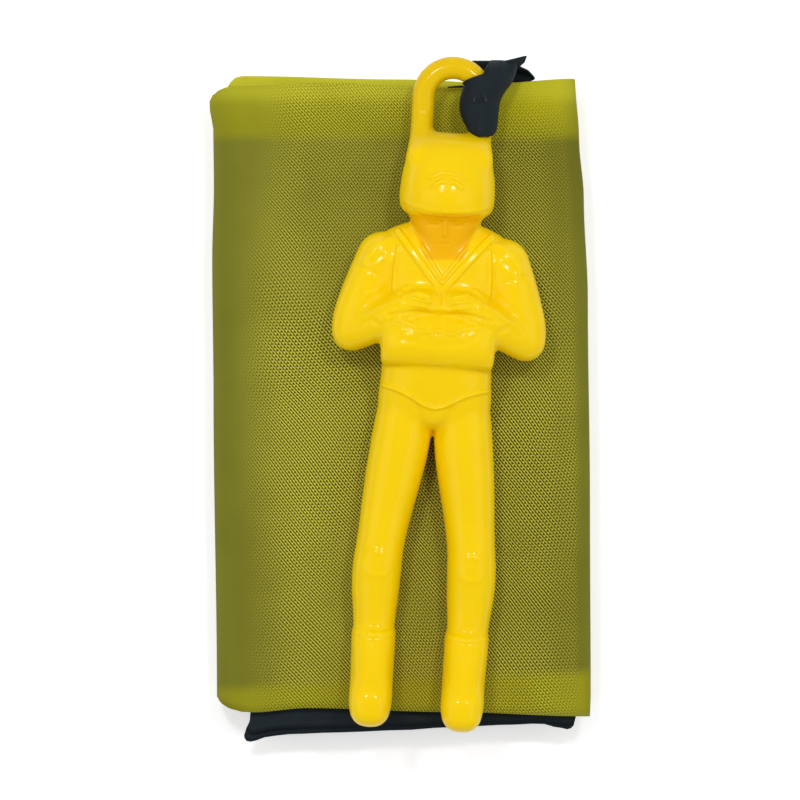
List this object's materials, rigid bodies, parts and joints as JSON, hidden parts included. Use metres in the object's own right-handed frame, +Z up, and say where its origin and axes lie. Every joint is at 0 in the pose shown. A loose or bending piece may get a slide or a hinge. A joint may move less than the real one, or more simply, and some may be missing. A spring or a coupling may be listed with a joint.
{
  "type": "toy parachute",
  "caption": "Packed toy parachute: a moulded jumper with a head ring lies on its folded cloth canopy, held by a cloth riser looped round the ring.",
  "frame": {"origin": "centre of the object's footprint, on the surface that the folded canopy lies on", "axes": "+Y towards the head ring, +Z up from the surface, +X to the pack's right seen from above with the head ring at the top"},
  "size_m": [0.0568, 0.1022, 0.0235],
  "materials": {
    "crown_cloth": "thin yellow-green woven nylon, slightly see-through over black",
    "panel_cloth": "thin blue-black woven nylon with a soft sheen",
    "thread": "black sewing thread",
    "plastic": "glossy injection-moulded yellow plastic"
  },
  "bodies": {
    "canopy_back": {"canopy_back_flap": "crown_cloth", "canopy_back_folds": "crown_cloth", "riser_panel_3": "panel_cloth", "riser_panel_4": "panel_cloth"},
    "canopy_front": {"canopy_front_flap": "crown_cloth", "canopy_front_folds": "crown_cloth", "riser_panel_1": "panel_cloth", "riser_panel_2": "panel_cloth", "riser_tail": "panel_cloth", "tail_bar_tack": "thread"},
    "riser": {"riser_strap": "panel_cloth"},
    "jumper": {"jumper_figure": "plastic", "riser_loop": "panel_cloth", "loop_bar_tack": "thread"}
  },
  "joints": [
    {"name": "canopy_open", "type": "hinge", "parent": "canopy_back", "child": "canopy_front", "pos_m": [-0.02845, 0, 0.00475], "axis": [0, -1, 0], "range_deg": [0, 90]},
    {"name": "riser_sway", "type": "hinge", "parent": "canopy_front", "child": "riser", "pos_m": [0.014, 0.04425, 0], "axis": [0, 0, 1], "range_deg": [-10, 10]},
    {"name": "riser_fold", "type": "hinge", "parent": "riser", "child": "jumper", "pos_m": [0.014, 0.05085, 0.01208], "axis": [-1, 0, 0], "range_deg": [0, 180]}
  ]
}
